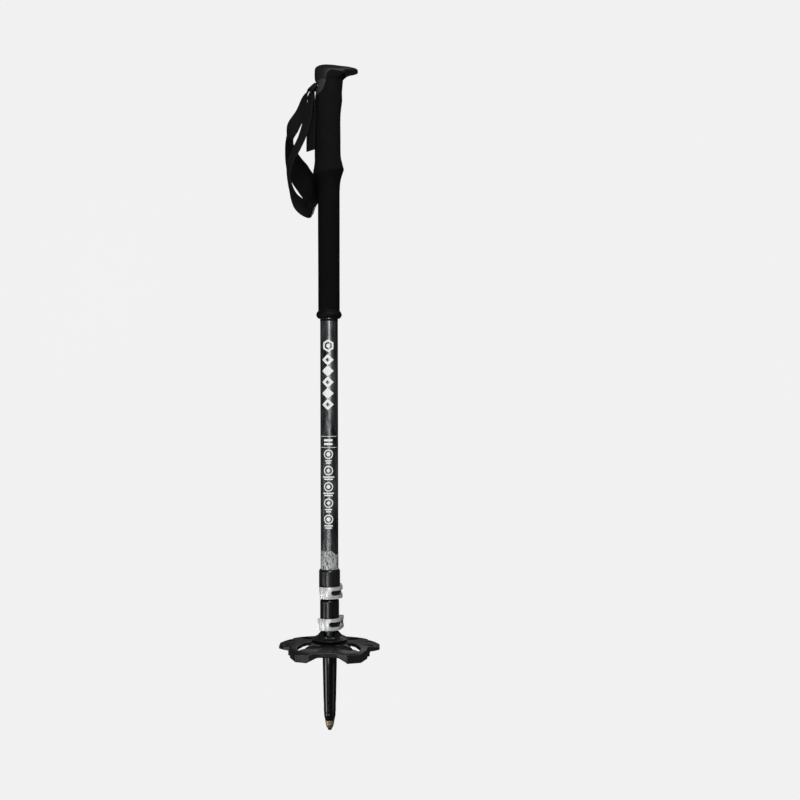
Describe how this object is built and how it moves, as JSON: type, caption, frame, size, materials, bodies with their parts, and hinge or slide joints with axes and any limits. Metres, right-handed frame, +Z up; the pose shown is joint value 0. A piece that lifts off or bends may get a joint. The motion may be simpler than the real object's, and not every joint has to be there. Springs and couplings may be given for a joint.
{
  "type": "ski pole",
  "caption": "Telescoping touring ski pole, collapsed, with beaked grip, long foam sleeve, wrist strap, cam-lever locks, wide basket and pointed tip.",
  "frame": {"origin": "ground contact point of the carbide tip, on the shaft's axis", "axes": "+Z up the shaft towards the grip, +X towards the grip's beak, +Y towards the back where the lock collars are slit"},
  "size_m": [0.1022, 0.084, 0.6754],
  "materials": {
    "grip_plastic": "fine-textured hard rubberised plastic",
    "wedge_plastic": "smooth moulded plastic",
    "foam": "closed-cell foam, matt",
    "foam_lower": "closed-cell foam, matt",
    "end_ring_rubber": "moulded rubber, satin",
    "upper_shaft": "aluminium tube, satin paint with a marbled print",
    "lower_shaft": "aluminium tube, black anodised",
    "collar_plastic": "glass-filled nylon, satin",
    "collar_gloss": "moulded plastic, gloss",
    "inner_plastic": "moulded nylon",
    "lever_metal": "die-cast, satin silver",
    "steel_hardware": "zinc-plated steel",
    "saddle_steel": "pressed stainless steel",
    "webbing": "woven polyester webbing",
    "pad_fabric": "brushed knit over foam padding",
    "label_fabric": "woven tag, plain",
    "ferrule_plastic": "moulded nylon, gloss",
    "holder_metal": "turned metal, bronze tint",
    "carbide": "sintered carbide",
    "basket_plastic": "flexible moulded plastic, matt"
  },
  "bodies": {
    "upper_section": {"grip_head": "grip_plastic", "strap_wedge": "wedge_plastic", "strap_anchor_pin": "steel_hardware", "strap_root": "webbing", "grip_foam": "foam", "grip_extension": "foam_lower", "grip_end_ring": "end_ring_rubber", "upper_tube": "upper_shaft", "upper_tube_plug": "inner_plastic", "upper_lock_collar": "collar_plastic", "upper_lock_bush": "inner_plastic", "upper_lock_screw": "steel_hardware", "upper_lock_barrel": "steel_hardware", "upper_lock_saddle": "saddle_steel"},
    "strap": {"strap_tab": "webbing", "strap_webbing_rear": "webbing", "strap_pad": "pad_fabric", "strap_webbing_front": "webbing", "strap_tail": "webbing", "strap_label": "label_fabric"},
    "upper_lever": {"upper_lever": "lever_metal"},
    "middle_guide": {"middle_guide": "inner_plastic"},
    "middle_section": {"middle_tube": "lower_shaft", "lower_lock_collar": "collar_gloss", "lower_lock_bush": "inner_plastic", "lower_lock_screw": "steel_hardware", "lower_lock_barrel": "steel_hardware", "lower_lock_saddle": "saddle_steel"},
    "lower_lever": {"lower_lever": "lever_metal"},
    "lower_guide": {"lower_guide": "inner_plastic"},
    "lower_section": {"lower_tube": "lower_shaft", "tip_ferrule": "ferrule_plastic", "tip_holder": "holder_metal", "carbide_tip": "carbide"},
    "basket": {"basket_hub": "basket_plastic", "basket_disc": "basket_plastic"}
  },
  "joints": [
    {"name": "strap_swing", "type": "hinge", "parent": "upper_section", "child": "strap", "pos_m": [-0.0132, 0, 0.654], "axis": [0, 1, 0], "range_deg": [0, 80]},
    {"name": "upper_lever_open", "type": "hinge", "parent": "upper_section", "child": "upper_lever", "pos_m": [0.00872, 0.01256, 0.1405], "axis": [0, 0, 1], "range_deg": [0, 130]},
    {"name": "middle_slide", "type": "slide", "parent": "upper_section", "child": "middle_guide", "axis": [0, 0, -1], "range_m": [0, 0.387]},
    {"name": "middle_turn", "type": "hinge", "parent": "middle_guide", "child": "middle_section", "pos_m": [0, 0, 0.6], "axis": [0, 0, 1], "continuous": true},
    {"name": "lower_lever_open", "type": "hinge", "parent": "middle_section", "child": "lower_lever", "pos_m": [0.01087, 0.00946, 0.1085], "axis": [0, 0, 1], "range_deg": [0, 130]},
    {"name": "lower_slide", "type": "slide", "parent": "middle_section", "child": "lower_guide", "axis": [0, 0, -1], "range_m": [0, 0.387]},
    {"name": "lower_turn", "type": "hinge", "parent": "lower_guide", "child": "lower_section", "pos_m": [0, 0, 0.57], "axis": [0, 0, 1], "continuous": true},
    {"name": "basket_turn", "type": "hinge", "parent": "lower_section", "child": "basket", "pos_m": [0, 0, 0.09], "axis": [0, 0, 1], "range_deg": [0, 90]}
  ]
}
